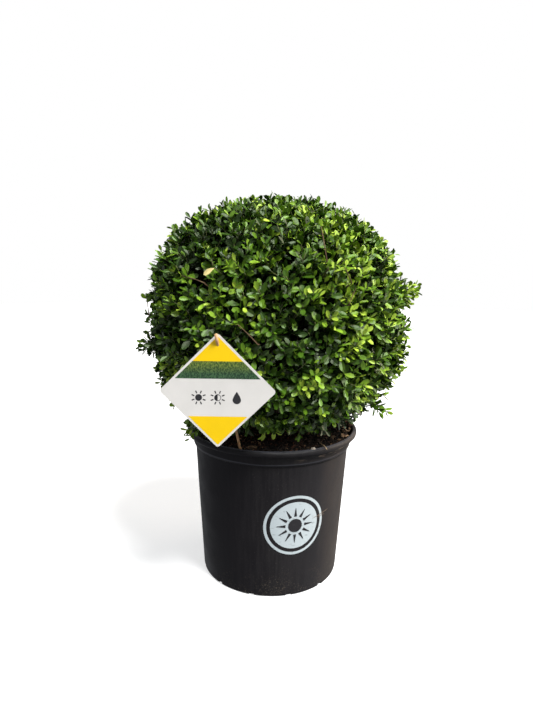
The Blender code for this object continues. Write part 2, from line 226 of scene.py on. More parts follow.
def limbMesh(points, radii, sides, resolution):
    # a tapering limb along a smooth curve, its ends closed
    curve = bpy.data.curves.new("limb", "CURVE")
    curve.dimensions = "3D"
    curve.bevel_depth = 1.0
    curve.bevel_resolution = sides // 2 - 2
    curve.use_fill_caps = True
    curve.resolution_u = resolution
    spline = curve.splines.new("BEZIER")
    spline.bezier_points.add(len(points) - 1)
    for index, (knot, point) in enumerate(zip(spline.bezier_points, points)):
        before = points[max(index - 1, 0)]
        after = points[min(index + 1, len(points) - 1)]
        along = (after - before).normalized()
        knot.co = point
        knot.handle_left = point - along * (point - before).length / 3
        knot.handle_right = point + along * (after - point).length / 3
        knot.radius = radii[index]
    guide = bpy.data.objects.new("limb", curve)
    bpy.context.scene.collection.objects.link(guide)
    graph = bpy.context.evaluated_depsgraph_get()
    mesh = bpy.data.meshes.new_from_object(guide.evaluated_get(graph))
    bpy.data.objects.remove(guide)
    bm = bmesh.new()
    bm.from_mesh(mesh)
    bpy.data.meshes.remove(mesh)
    bmesh.ops.remove_doubles(bm, verts=bm.verts[:], dist=1e-6)
    bmesh.ops.recalc_face_normals(bm, faces=bm.faces[:])
    return bm


# Pot

pot = {
    "sides": 144,
    "height": 0.245,
    "rimRadius": 0.1405,
    "footRadius": 0.1135,
    "footRound": 0.0045,
    "wallStart": 0.005,
    "shoulderRadius": 0.1266,
    "shoulderHeight": 0.2170,
    "collarRadius": 0.1300,
    "collarHeight": 0.2205,
    "collarTop": 0.2335,
    # the rolled lip, from outside to inside: how far in from the rim and how far below the top
    "lip": ((0.0035, 0.0097), (0.0005, 0.0073), (0.0, 0.0038), (0.0013, 0.0010),
            (0.0040, 0.0), (0.0065, 0.0012), (0.0083, 0.0055)),
    "wall": 0.0025,
    "floor": 0.004,
    "drainSlots": 12,
    "drainSlotSize": (0.010, 0.009, 0.011),
    "sharpAngle": math.radians(38),
}
potColours = {
    "plain": (0.0100, 0.0089, 0.0105),
    "cloudy": (0.0140, 0.0125, 0.0130),
    "lines": (0.0210, 0.0190, 0.0200),
    "specks": (0.090, 0.084, 0.078),
    # painted shade on the left, and painted sheen on the right
    "left": (0.0055, 0.0046, 0.0068),
    "right": (0.024, 0.0226, 0.0245),
    # painted highlight on the lip's crest and the collar's edge
    "paintedHighlight": (0.076, 0.078, 0.092),
    # dust, and painted warm reflection, to the right
    "dustAndWarmReflection": (0.084, 0.064, 0.049),
    "grit": (0.135, 0.112, 0.085),
    "scuffs": (0.21, 0.165, 0.125),
}


def potMaterial():
    made, tree, shader = startMaterial("potPlastic", 0.46, Specular_IOR_Level=0.17)
    height = objectAxis(tree, "Z")
    across = objectAxis(tree, "X")
    cloudy = ranged(tree, objectNoise(tree, 14, 6), 0.35, 0.70)
    colour = blended(tree, cloudy, potColours["plain"], potColours["cloudy"])
    # faint lines down the wall from the mould, and a sprinkling of dust
    lines = ranged(tree, objectNoise(tree, 190, 3, (1, 1, 0.05)), 0.42, 0.62, 0.0, 0.55)
    colour = blended(tree, lines, colour, potColours["lines"])
    specks = ranged(tree, objectNoise(tree, 640, 2), 0.66, 0.74, 0.0, 0.45)
    colour = blended(tree, specks, colour, potColours["specks"])
    # painted shade: darker towards the left; painted sheen: paler towards the right
    colour = blended(tree, ranged(tree, across, 0.0, -0.09), colour, potColours["left"])
    colour = blended(tree, ranged(tree, across, 0.0, 0.10, 0.0, 0.8), colour, potColours["right"])
    # painted highlight: pale lines along the lip's crest and the collar's lower edge
    waver = ranged(tree, objectNoise(tree, 18, 3), 0.30, 0.70, -0.0006, 0.0006)
    edge = combined(tree, "SUBTRACT", combined(tree, "ADD", height, waver), pot["collarHeight"] + 0.0009)
    edge = ranged(tree, combined(tree, "ABSOLUTE", edge, 0), 0.0014, 0.0004, 0.0, 0.55)
    crestHighlight = ranged(tree, height, pot["height"] - 0.0013, pot["height"] - 0.0002, 0.0, 0.90)
    colour = blended(tree, combined(tree, "MAXIMUM", edge, crestHighlight), colour, potColours["paintedHighlight"])
    # a brown veil to the right, partly dust and partly painted warm reflection, with dust as grit at the foot
    right = ranged(tree, across, 0.070, 0.135, 0.0, 0.80)
    dustAndWarmReflection = ranged(tree, objectNoise(tree, 22, 6, (1, 1, 0.35)), 0.34, 0.62, 0.35, 1.0)
    colour = blended(tree, combined(tree, "MULTIPLY", right, dustAndWarmReflection), colour, potColours["dustAndWarmReflection"])
    low = ranged(tree, height, 0.052, 0.004)
    grit = ranged(tree, objectNoise(tree, 520, 3), 0.57, 0.70)
    patch = ranged(tree, objectNoise(tree, 30, 5), 0.40, 0.66, 0.1, 1.0)
    dust = combined(tree, "MULTIPLY", combined(tree, "MULTIPLY", low, grit), patch)
    colour = blended(tree, dust, colour, potColours["grit"])
    # long scuffs on the collar
    streaks = ranged(tree, objectNoise(tree, 60, 4, (0.35, 0.35, 6.5), 0.8), 0.57, 0.62)
    above = ranged(tree, height, pot["collarHeight"] - 0.0020, pot["collarHeight"] + 0.0035)
    below = ranged(tree, height, pot["collarTop"] + 0.0010, pot["collarTop"] - 0.0015)
    scuffs = combined(tree, "MULTIPLY", streaks, combined(tree, "MULTIPLY", above, below))
    scuffs = combined(tree, "MULTIPLY", scuffs, ranged(tree, across, 0.03, 0.075))
    colour = blended(tree, scuffs, colour, potColours["scuffs"])
    tree.links.new(colour, shader.inputs["Base Color"])
    tree.links.new(ranged(tree, objectNoise(tree, 30, 5), 0.3, 0.7, 0.34, 0.52), shader.inputs["Roughness"])
    bumped(tree, shader, objectNoise(tree, 260, 4), 0.00025, 0.5)
    return made


def potProfile():
    # foot, drafted wall, stepped collar, rolled lip, and down again inside
    foot, rim, shoulder, collar = (pot[part + "Radius"] for part in ("foot", "rim", "shoulder", "collar"))
    step, low, high, start = pot["shoulderHeight"], pot["collarHeight"], pot["collarTop"], pot["wallStart"]
    edge = foot - pot["footRound"]
    base = [(0.0, 0.0), (edge, 0.0)]
    base += rounded([(edge, 0.0), (foot - 0.001, 0.0015), (foot, start)], 3)[1:]
    shares = (0.25, 0.5, 0.75)
    wall = [(foot + (shoulder - foot) * share, start + (step - start) * share) for share in shares]
    bead = rounded([(shoulder, step), (shoulder + 0.0020, step + 0.0012), (collar, low)], 3)
    lean = collar + 0.0012
    band = rounded([(collar + 0.0004, low + 0.0022), (collar + 0.0006, high - 0.004), (lean, high)], 3)
    lip = rounded([(rim - inward, pot["height"] - below) for inward, below in pot["lip"]], 3)
    inside = [(lean - pot["wall"], high + 0.0010), (collar - pot["wall"], low)]
    inside += [(shoulder - pot["wall"], step), (foot - pot["wall"], pot["floor"]), (0.0, pot["floor"])]
    return base + wall + bead + band + lip + inside


def applied(piece):
    graph = bpy.context.evaluated_depsgraph_get()
    mesh = bpy.data.meshes.new_from_object(piece.evaluated_get(graph))
    piece.modifiers.clear()
    piece.data = mesh
    return piece


def makePot(material):
    piece = addPiece("pot_shell", turned(potProfile(), pot["sides"]), material, ["pot"])
    cutter = bmesh.new()
    size = Matrix.Diagonal((*pot["drainSlotSize"], 1.0))
    for index in range(pot["drainSlots"]):
        turn = Matrix.Rotation(math.tau * (index + 0.5) / pot["drainSlots"], 4, "Z")
        place = turn @ Matrix.Translation((pot["footRadius"], 0, 0)) @ size
        bmesh.ops.create_cube(cutter, size=1.0, matrix=place)
    mesh = bpy.data.meshes.new("slots")
    cutter.to_mesh(mesh)
    cutter.free()
    slots = bpy.data.objects.new("slots", mesh)
    bpy.context.scene.collection.objects.link(slots)
    cut = piece.modifiers.new("slots", "BOOLEAN")
    cut.object = slots
    applied(piece)
    bpy.data.objects.remove(slots)
    piece.data.set_sharp_from_angle(angle=pot["sharpAngle"])
    print("pot:", len(piece.data.polygons), "faces")


# The round print on the pot's wall

badge = {
    "azimuth": math.radians(17.4),  # to the right of the front
    "height": 0.1212,
    "radius": 0.0486,
    "ring": (0.0384, 0.0442),
    "centre": 0.00001,  # a disc is a ring round this point
    "sunRadius": 0.0110,
    "rays": 12,
    "rayReach": (0.0150, 0.0290),
    "rayWidth": 0.0046,
    "rayTaper": 0.85,
    "proud": 0.0002,
    "sunProud": 0.0005,
    # scratches across its right edge: start, end and width
    "scratches": [((0.029, 0.0060), (0.061, 0.0135), 0.0012), ((0.038, 0.0045), (0.053, 0.0085), 0.0009)],
    "scratchWaver": 0.8,
    "scratchProud": 0.0007,
    # each ink as printed, and where it has worn
    "light": ((0.47, 0.53, 0.55), (0.16, 0.17, 0.17)),
    "dark": ((0.014, 0.013, 0.015), (0.03, 0.028, 0.028)),
    "dust": ((0.19, 0.14, 0.10), (0.06, 0.045, 0.033)),
}


def wallPoint(across, along, proud):
    # a point of the flat print, wrapped on to the pot's drafted wall
    rise = pot["shoulderHeight"] - pot["wallStart"]
    height = badge["height"] + along
    spread = pot["shoulderRadius"] - pot["footRadius"]
    radius = pot["footRadius"] + spread * (height - pot["wallStart"]) / rise
    turn = badge["azimuth"] + across / radius
    return Vector((math.sin(turn) * (radius + proud), -math.cos(turn) * (radius + proud), height))


def ringBand(bm, inner, outer, sides=96, rings=3):
    made = bmesh.ops.create_circle(bm, segments=sides, radius=outer)
    edges = [edge for edge in bm.edges if all(vert in made["verts"] for vert in edge.verts)]
    radii = [outer + (inner - outer) * ring / rings for ring in range(rings + 1)]
    for before, after in zip(radii, radii[1:]):
        verts, edges = extrudeEdges(bm, edges)
        bmesh.ops.scale(bm, verts=verts, vec=(after / before, after / before, 1))


def wrapPrint(bm, proud):
    bmesh.ops.remove_doubles(bm, verts=bm.verts[:], dist=1e-6)
    for vert in bm.verts:
        vert.co = wallPoint(vert.co.x, vert.co.y, proud)
    bmesh.ops.recalc_face_normals(bm, faces=bm.faces[:])
    centre = wallPoint(0, 0, 0)
    outward = Vector((centre.x, centre.y, 0)).normalized()
    if sum(face.normal.dot(outward) for face in bm.faces) < 0:
        bmesh.ops.reverse_faces(bm, faces=bm.faces[:])


def printMaterial(name, tones):
    return mottled(
        name, tones, roughness=0.5, pattern=(90, 6, (1, 1, 2.2), 0.4), mix=(0.60, 0.74, 0.0, 0.6),
        relief=(400, 3), bump=(0.0001, 0.4),
    )


def makeBadge(light, dark, dusty):
    printed = bmesh.new()
    inner, outer = badge["ring"]
    ringBand(printed, outer, badge["radius"])
    ringBand(printed, badge["centre"], inner, rings=12)
    wrapPrint(printed, badge["proud"])
    addPiece("badge_print", printed, light)

    sun = bmesh.new()
    ringBand(sun, badge["centre"], badge["sunRadius"], sides=48, rings=5)
    start, end = badge["rayReach"]
    for index in range(badge["rays"]):
        turn = Matrix.Rotation(math.tau * index / badge["rays"], 4, "Z")
        ray = bmesh.ops.create_grid(sun, x_segments=4, y_segments=1, size=0.5)
        for vert in ray["verts"]:
            share = vert.co.x + 0.5
            width = badge["rayWidth"] * (1 - badge["rayTaper"] * share)
            vert.co = turn @ Vector((start + (end - start) * share, vert.co.y * width, 0))
    wrapPrint(sun, badge["sunProud"])
    addPiece("badge_sun", sun, dark)

    scratch = bmesh.new()
    for start, end, width in badge["scratches"]:
        start, end = Vector((*start, 0)), Vector((*end, 0))
        along = end - start
        aside = Vector((-along.y, along.x, 0)).normalized() * width
        made = bmesh.ops.create_grid(scratch, x_segments=8, y_segments=1, size=0.5)
        for vert in made["verts"]:
            share = vert.co.x + 0.5
            thin = math.sin(math.pi * (0.1 + 0.8 * share))
            waver = badge["scratchWaver"] * noise.noise((share * 4, width * 900, 0))
            vert.co = start + along * share + aside * (vert.co.y * thin + waver)
    wrapPrint(scratch, badge["scratchProud"])
    addPiece("badge_scratch", scratch, dusty)
    print("badge: 3 pieces")


# Compost, with chips and flakes of bark and one straw on it

soil = {
    "level": 0.2365,
    "edge": 0.1270,
    "depth": 0.022,
    "draft": 0.002,
    "rings": 34,
    "sides": 120,
    "flatRadius": 0.022,
    "heap": 0.0045,
    # waves round the bed: size, number and start. Then how much higher one side lies, and which way it is
    "waves": ((0.7, 2, 0.6), (0.4, 5, 1.9)),
    "side": (0.7, 0.3),
    "lumps": 0.0016,
    "lumpsAcross": 90,
    "drift": 0.0085,  # the compost lies higher against the rim at the right
    "driftTurn": math.radians(8),
    "driftWidth": 0.6,
    "driftStart": 0.075,
    "driftRun": 0.045,
    "tones": ((0.0065, 0.0040, 0.0028), (0.028, 0.0155, 0.0090)),
}
chips = {
    "seed": 31,
    "count": 3200,
    "length": (0.0018, 0.0052),
    "width": (0.35, 0.70),
    "thickness": (0.20, 0.45),
    "longShare": 0.06,
    "longer": 1.8,
    "tilt": 0.35,
    "skew": 0.16,
    "area": (0.02, 0.97),
    "lift": (0.0, 0.2),
    # each kind's material, its two tones and its share
    "kinds": {
        "chips_dark": ("chipDark", ((0.010, 0.0060, 0.0042), (0.032, 0.018, 0.011)), 0.72),
        "chips_red": ("chipRed", ((0.035, 0.014, 0.0075), (0.095, 0.038, 0.020)), 0.22),
        "chips_tan": ("chipTan", ((0.16, 0.095, 0.05), (0.34, 0.22, 0.13)), 0.06),
    },
}
# large bits of bark, two in three of them against the rim at the right
flakes = {
    "count": 50,
    "length": (0.007, 0.013),
    "width": 0.42,
    "thickness": 0.16,
    "besideRim": (0.119, 0.130),
    "elsewhere": (0.04, 0.12),
    "spread": 0.32,
    "turnSpread": 0.6,
    "tilt": 0.5,
}
litter = {
    "straw": [(0.0713, -0.0925, 0.2440), (0.0763, -0.1145, 0.2470), (0.0792, -0.1218, 0.2440)],
    "strawRadii": (0.00090, 0.00081, 0.00054),
    "strawSides": 8,
    "strawTones": ((0.34, 0.23, 0.12), (0.60, 0.45, 0.27)),
    "strawGrain": 600,
    "paleChip": (0.0590, -0.1235, 0.2460),
    "paleChipSize": (0.0056, 0.0040, 0.0022),
    "paleChipTones": ((0.42, 0.36, 0.29), (0.66, 0.60, 0.52)),
}


def heap(radius, angle):
    away = max(0.0, radius - soil["flatRadius"]) / pot["rimRadius"]
    waves = sum(size * math.sin(count * angle + start) for size, count, start in soil["waves"])
    size, turn = soil["side"]
    return soil["heap"] * away * (waves + size * math.cos(angle - turn))


def soilHeight(x, y):
    radius = math.hypot(x, y)
    angle = math.atan2(y, x)
    lumps = noise.fractal(Vector((x, y, 0)) * soil["lumpsAcross"], 0.9, 2.1, 4) * soil["lumps"]
    beside = math.exp(-((angle - soil["driftTurn"]) / soil["driftWidth"]) ** 2)
    outward = min(1.0, max(0.0, (radius - soil["driftStart"]) / soil["driftRun"]))
    return soil["level"] + heap(radius, angle) + soil["drift"] * beside * outward**2 + lumps


def soilMaterial(name, tones, grain=160):
    return mottled(
        name, tones, roughness=0.92, pattern=(grain, 8), mix=(0.35, 0.68),
        relief=(grain * 2.5, 8), bump=(0.0012, 0.9), Specular_IOR_Level=0.2,
    )


def makeSoilBed(material):
    low = soil["level"] - soil["depth"]
    top = [(soil["edge"] * (1 - ring / soil["rings"]), soil["level"]) for ring in range(soil["rings"])]
    profile = [(0.0, low), (soil["edge"] - soil["draft"], low), *top, (0.0, soil["level"])]
    bm = turned(profile, soil["sides"])
    for vert in bm.verts:
        if vert.co.z > low + 0.001:
            vert.co.z = soilHeight(vert.co.x, vert.co.y)
    addPiece("compost_bed", bm, material, ["soil"])


def chipTemplate(chance):
    chip = bmesh.new()
    bmesh.ops.create_cube(chip, size=1.0)
    for vert in chip.verts:
        vert.co += Vector([chance.uniform(-chips["skew"], chips["skew"]) for _ in range(3)])
    return templateArrays(chip)


def chipPlace(chance):
    radius = soil["edge"] * math.sqrt(chance.uniform(*chips["area"]))
    turn = chance.uniform(0, math.tau)
    x, y = radius * math.cos(turn), radius * math.sin(turn)
    long = chance.uniform(*chips["length"])
    if chance.random() < chips["longShare"]:
        long *= chips["longer"]
    wide, thick = long * chance.uniform(*chips["width"]), long * chance.uniform(*chips["thickness"])
    spin = Matrix.Rotation(chance.uniform(0, math.tau), 4, "Z")
    tilt = Matrix.Rotation(chance.gauss(0, chips["tilt"]), 4, "Y")
    lift = soilHeight(x, y) + long * chance.uniform(*chips["lift"])
    return Matrix.Translation((x, y, lift)) @ spin @ tilt @ Matrix.Diagonal((long, wide, thick, 1.0))


def flakePlace(chance, aside):
    # its long side runs round the pot, and it leans over
    turn = chance.uniform(0, math.tau) if aside else soil["driftTurn"] + chance.gauss(0, flakes["spread"])
    radius = chance.uniform(*flakes["elsewhere" if aside else "besideRim"])
    x, y = radius * math.cos(turn), radius * math.sin(turn)
    long = chance.uniform(*flakes["length"])
    thick = long * flakes["thickness"]
    spin = Matrix.Rotation(turn + chance.gauss(math.pi / 2, flakes["turnSpread"]), 4, "Z")
    tilt = Matrix.Rotation(chance.gauss(0, flakes["tilt"]), 4, "X")
    lift = soilHeight(x, y) + thick
    size = Matrix.Diagonal((long, long * flakes["width"], thick, 1.0))
    return Matrix.Translation((x, y, lift)) @ spin @ tilt @ size


def makeLitter():
    chance = random.Random(chips["seed"])
    points, triangles = chipTemplate(chance)
    names = list(chips["kinds"])
    shares = [share for _, _, share in chips["kinds"].values()]
    heaps = {name: [] for name in names}
    for index in range(chips["count"]):
        placed = moved(points, chipPlace(chance))
        heaps[chance.choices(names, shares)[0]].append(placed)
    for index in range(flakes["count"]):
        heaps[names[1 + index % 2]].append(moved(points, flakePlace(chance, index % 3 == 0)))
    place = Matrix.Translation(litter["paleChip"]) @ Matrix.Diagonal((*litter["paleChipSize"], 1.0))
    pale = soilMaterial("chipPale", litter["paleChipTones"])
    chip = copiesMesh("chip_pale", [moved(points, place)], triangles)
    addPiece("chip_pale", chip, pale, smooth=False)
    sides = litter["strawSides"]
    straw = limbMesh([Vector(point) for point in litter["straw"]], litter["strawRadii"], sides, sides)
    addPiece("straw", straw, soilMaterial("straw", litter["strawTones"], litter["strawGrain"]))
    for name, (finish, tones, _) in chips["kinds"].items():
        mesh = copiesMesh(name, heaps[name], triangles)
        addPiece(name, mesh, soilMaterial(finish, tones), smooth=False)
    print("compost:", chips["count"], "chips and", flakes["count"], "flakes")


# Limbs

trunk = {
    "top": Vector((0.007, -0.004, 0.508)),
    "flare": 0.007,
    # share of the way up, and how far aside
    "bends": ((0.28, Vector((0.003, 0.001, 0))), (0.64, Vector((-0.003, 0.002, 0)))),
    "radii": (0.0165, 0.0125, 0.0108, 0.0088, 0.0055),
    "sides": 24,
    "steps": 22,
    "relief": 0.0009,
}
bough = {
    "count": 6,
    "firstTurn": 20,
    "start": 0.288,
    "step": 0.013,
    "lifts": (4, 48),
    "bow": 0.012,
    "sag": 0.010,
    "radii": (0.0056, 0.0046, 0.0036),
    "sides": 14,
    "steps": 16,
    "shortOfLeaves": 0.006,
    "relief": 0.0004,
}
# each limb runs on past its tip as a thinner stem, from which the shoots grow
stem = {
    "length": 0.030,
    "taper": 0.7,
}
hollow = {"centre": Vector((0.002, 0.0, 0.375)), "radius": 0.120, "rise": 0.150}
gap = 0.0003
barkTones = {
    "bark": ((0.035, 0.024, 0.017), (0.15, 0.11, 0.08)),
    "woody": ((0.050, 0.028, 0.014), (0.140, 0.086, 0.044)),
    "green": ((0.045, 0.060, 0.020), (0.12, 0.13, 0.045)),
}
barkRelief = {"ridges": Vector((260, 260, 45)), "ridgeShare": 0.8, "knots": 120, "knotShare": 0.6}


def heading(azimuth, elevation):
    azimuth, elevation = math.radians(azimuth), math.radians(elevation)
    flat = math.cos(elevation)
    return Vector((flat * math.cos(azimuth), flat * math.sin(azimuth), math.sin(elevation)))


def trunkLine():
    foot = Vector((0, 0, soil["level"] + gap))
    rise = foot + up * trunk["flare"]
    bends = [rise.lerp(trunk["top"], share) + aside for share, aside in trunk["bends"]]
    return [foot, rise, *bends, trunk["top"]]


def boughLine(index):
    outward = heading(bough["firstTurn"] + 360 * index / bough["count"], 0)
    height = bough["start"] + bough["step"] * (index * 2 % (bough["count"] - 1))
    start = Vector((hollow["centre"].x, 0, height))
    low, high = bough["lifts"]
    lift = math.radians(low + (high - low) * (index * goldenShare % 1))
    flat = math.cos(lift) * hollow["radius"] - bough["shortOfLeaves"]
    tip = hollow["centre"] + outward * flat + up * (math.sin(lift) * hollow["rise"] - bough["shortOfLeaves"])
    bend = start.lerp(tip, 0.5) + outward * bough["bow"] - up * bough["sag"]
    return [start, bend, tip]


def barkMaterial(name, tones):
    return mottled(
        name, tones, roughness=0.85, pattern=(70, 8, (1, 1, 0.3), 0.5), mix=(0.35, 0.66),
        relief=(260, 6, (1, 1, 0.35)), bump=(0.0008, 0.8), Specular_IOR_Level=0.3,
    )


def roughen(bm, relief):
    # long ridges along the limb, with small knots
    bm.normal_update()
    for vert in bm.verts:
        ridge = noise.noise(vert.co * barkRelief["ridges"]) * barkRelief["ridgeShare"]
        knot = noise.noise(vert.co * barkRelief["knots"]) * barkRelief["knotShare"]
        vert.co += vert.normal * relief * (ridge + knot)


def stemTip(line):
    return line[-1] + (line[-1] - line[-2]).normalized() * stem["length"]


def makeLimb(name, node, line, limb, material):
    radii = (*limb["radii"], limb["radii"][-1] * stem["taper"])
    bm = limbMesh(line + [stemTip(line)], radii, limb["sides"], limb["steps"])
    roughen(bm, limb["relief"])
    addPiece(name, bm, material, [node])


def makeLimbs(material):
    makeLimb("trunk_bark", "trunk", trunkLine(), trunk, material)
    for index in range(bough["count"]):
        makeLimb(f"bough_bark_{index + 1}", f"bough_{index + 1}", boughLine(index), bough, material)
    print("limbs:", 1 + bough["count"])


# Crown: its clipped outline, and the places that stand out from it

crown = {
    "seed": 11,
    "centre": Vector((0.003, 0.0, 0.420)),
    "radius": 0.203,
    "rise": 0.186,
    "drop": 0.180,
    "power": 2.5,  # 2 is round, and more is squarer
    "waves": 0.018,
    # waves round the crown: size, number, start, and turn with height
    "waveForms": ((0.55, 3, 0.7, 2.1), (0.45, 5, -1.3, -3.0)),
    "lumps": 0.009,
    "lumpsAcross": 6.5,
    "shoots": 200,
    "lowest": -0.80,
    "coreShare": 0.89,
    "forkDepth": 0.020,
    "branchlets": 5,
    "branchletSpread": (0.05, 0.20),
    "branchletDepth": (0.024, 0.034),
    "sprigs": 4,
    "sprigSpread": (0.03, 0.085),
    "sprigDepth": (0.001, 0.025),
    "lift": 0.055,
    "innerTwigs": 6,
    "innerSlant": (-0.9, 0.2),
    "innerLength": (0.022, 0.045),
    "tuftRoot": 0.020,
    "tuftRootShare": 0.7,
    "tuftSpread": 0.11,
    "tuftInset": (0.005, 0.010),
    "tuftDepth": 0.024,
    "fullerTop": 0.25,
    "crevices": 42,
    "creviceLevels": (0.9, -0.5),
    "creviceWidth": (2.5, 5.5),
    "creviceDepth": 0.038,
}

# in the lists below, each place on the crown is an azimuth from +X and an elevation, in degrees

# shoots that have outgrown the clipping: place, length past the surface, and sprigs
strayShoots = [
    (-6, 13, 0.029, 9), (-3, -2, 0.020, 10), (-10, -19, 0.019, 10), (-14, -37, 0.036, 3),
    (187, -11, 0.025, 7), (176, 9, 0.015, 6), (-84, 86, 0.010, 3), (62, 8, 0.020, 7),
    (118, -20, 0.022, 6), (98, 34, 0.014, 5), (146, 3, 0.014, 6), (215, -33, 0.016, 5),
    (219, -46, 0.036, 7), (66, -44, 0.004, 7),
]
# dark openings between the front sprays: place and half width
frontCrevices = [
    (-127, 27, 5.5), (-104, 28, 3.5), (-107, 12, 4.0), (-139, 17, 4.5), (-88, -10, 5.5),
    (-94, 13, 3.5), (-61, 0, 4.0), (-79, 5, 3.5), (-112, 37, 3.5), (-72, 30, 3.0),
]
# parts clipped closer, or left fuller where the dip is negative: place, width and dip
clippedPlaces = [
    (-13, 34, 12, 0.008), (-12, 9, 5, 0.014), (-13, -9, 11, -0.009), (-14, -27, 7, -0.006),
    (193, 8, 7, 0.011), (60, 25, 14, 0.006), (110, 5, 12, 0.005), (150, -15, 10, -0.005),
]
# young sprays that catch the eye: place
brightSprays = [
    (-73, 19), (-94, 29), (-60, -4), (-75, -20), (-91, -15), (-97, -42), (-60, -38), (-118, 10), (-50, 1),
    (-63, 13), (-104, 46), (-40, 22), (20, 5), (75, 20), (110, -10), (150, 25), (-170, 0), (-145, -20),
]
# bare twigs on the outside: place of tip and of base
bareTwigs = [
    (-69.5, 42, -70.3, 24), (-63.2, 24, -60.2, 19), (-59.5, 17, -62.3, 11), (-130, 20, -119, 18),
    (-104, 4, -97, -3), (20, 30, 24, 16), (80, 12, 86, 2), (140, 40, 150, 30), (-170, 10, -166, 0),
]
# an inset is a depth under the clipped surface, and a twig's foot is some degrees below its base
bareTwig = {"tipInset": -0.003, "baseInset": 0.001, "footInset": 0.035, "footBelow": 2}
# faded leaves, each on a stalk: place of root and of tip
fadedLeaves = [(-113.5, 22.4, -118, 19.6), (10, 12, 13, 9), (70, 40, 66, 38), (165, -5, 160, -8)]
fadedLeaf = {"footInset": 0.030, "rootInset": -0.009, "tipInset": -0.011, "size": 0.85, "roll": 0.05}


def crownReach(direction):
    flat = math.hypot(direction.x, direction.y) / crown["radius"]
    tall = abs(direction.z) / (crown["rise"] if direction.z > 0 else crown["drop"])
    even = (flat ** crown["power"] + tall ** crown["power"]) ** (-1 / crown["power"])
    turn = math.atan2(direction.y, direction.x)
    waves = sum(
        size * math.sin(count * turn + start + climb * direction.z)
        for size, count, start, climb in crown["waveForms"]
    )
    return even * (1 + crown["waves"] * waves * (1 - direction.z**2))


def crownPoint(direction, inset):
    return crown["centre"] + direction * (crownReach(direction) - inset)


# Label card and splint

label = {
    "side": 0.1065,
    "thickness": 0.0009,
    "centre": Vector((-0.0725, -0.201, 0.3480)),
    "slotBelowCorner": 0.0135,
    "view": 0.04,  # no leaf hangs this close before the card
    "inkProud": 0.00015,
    "border": 0.945,
    # each band's lowest and highest level, in halves of the card's height
    "bands": {"label_top": (0.52, 0.94), "label_strip": (0.22, 0.52), "label_foot": (-0.94, -0.44)},
    "yellow": (0.83, 0.54, 0.0),
    # the strip's print turns from dark leaves to sunlit ones between these levels
    "sunny": (0.30, 0.54),
    "leafTones": ((0.010, 0.030, 0.016), (0.050, 0.115, 0.048)),
    "sunlitTones": ((0.035, 0.070, 0.012), (0.21, 0.26, 0.035)),
    "white": (0.66, 0.64, 0.61),
    "ink": (0.022, 0.021, 0.024),
}
signs = {
    "space": 0.0245,
    "size": 0.0088,
    "level": -0.11,
    "sides": 40,
    "disc": 0.50,
    "ringInside": 0.84,
    "rays": 8,
    "rayPlace": 0.88,
    "raySize": (0.42, 0.17),
    "drop": 0.62,
    "dropRise": 2.0,
    "dropBelow": 0.3,
}
splint = {
    "radii": (0.001785, 0.001953, 0.0021),
    "inSoil": Vector((-0.047, -0.112, 0.2365)),
    "depth": 0.050,
    "pastSlot": 0.014,
    "sides": 16,
    "steps": 12,
    "tones": ((0.42, 0.22, 0.10), (0.72, 0.46, 0.24)),
}


def halfCard():
    # from the card's centre to a corner
    return label["side"] * math.sqrt(0.5)


def splintLine():
    slot = label["centre"] + up * (halfCard() - label["slotBelowCorner"])
    along = (slot - splint["inSoil"]).normalized()
    return splint["inSoil"] - along * splint["depth"], slot, slot + along * splint["pastSlot"]


# Leaves: gathered as rows of numbers, dropped where they would meet something, then joined by tint

leaf = {
    "length": 0.0182,
    "width": 0.0086,
    "outline": ((0.0, 0.0), (0.22, 0.50), (0.56, 1.0), (0.87, 0.72), (1.0, 0.0)),
    "fold": 0.16,
    "curl": 0.10,
    "spacing": 0.0033,
    # degrees from the twig, at its base and at its tip
    "lean": (72, 34),
    "leanSpread": 9,
    "roll": 0.35,
    "sizes": (0.85, 1.12),
    "folds": (0.2, 1.4),
    "curls": (-0.6, 1.6),
    "clearance": 0.0012,
    "clearOfRim": 0.004,
    "clearOfPot": 0.003,
    "pastSolids": 0.002,
}
# each kind of twig: its finish, its radius at base and tip, its sides, and its sag and the steps in its line.
# Its leaves: where along it they start, how much younger they are at its tip, and their size at base and tip
twigKinds = {
    "shoot": {"finish": "twigs_woody", "radii": (0.0024, 0.0014), "sides": 5, "bend": (0.08, 5),
              "leaves": (0.20, 0.0, 1.05, 1.00)},
    "inner": {"finish": "twigs_woody", "radii": (0.0010, 0.0007), "sides": 3, "bend": (0.10, 3),
              "leaves": (0.10, 0.0, 1.15, 1.05)},
    "branchlet": {"finish": "twigs_woody", "radii": (0.0013, 0.0009), "sides": 4, "bend": (0.06, 4),
                  "leaves": (0.35, 0.4, 1.00, 1.00)},
    "sprig": {"finish": "twigs_green", "radii": (0.0010, 0.0006), "sides": 3, "bend": (0.10, 4),
              "leaves": (0.12, 2.0, 1.00, 0.60)},
    "bareTwig": {"finish": "twigs_woody", "radii": (0.0009, 0.0006), "sides": 5, "bend": (-0.05, 6),
                 "leaves": (0.80, 2.0, 0.80, 0.50)},
    "stalk": {"finish": "twigs_green", "radii": (0.0009, 0.0006), "sides": 3, "bend": (0.0, 3)},
}
twigKinds["thinSprig"] = {**twigKinds["sprig"], "leaves": (0.45, 2.0, 1.00, 0.60)}

# from leaves deep inside, painted near-black as shade, and old leaves to young ones at the tips
leafTints = {
    # painted shade: near-black for leaves deep inside
    "leaves_painted_shade": (0.0070, 0.0150, 0.0032),
    "leaves_old": (0.0100, 0.0240, 0.0040),
    "leaves_dark": (0.0190, 0.0480, 0.0050),
    "leaves_green": (0.0400, 0.0920, 0.0070),
    "leaves_fresh": (0.0850, 0.1700, 0.0110),
    "leaves_bright": (0.1700, 0.2900, 0.0200),
    "leaves_young": (0.3200, 0.4500, 0.0450),
    "leaves_faded": (0.6000, 0.5000, 0.2100),
}
# the tints of lit leaves, neither shaded nor faded
leafAges = list(leafTints)[1:-1]
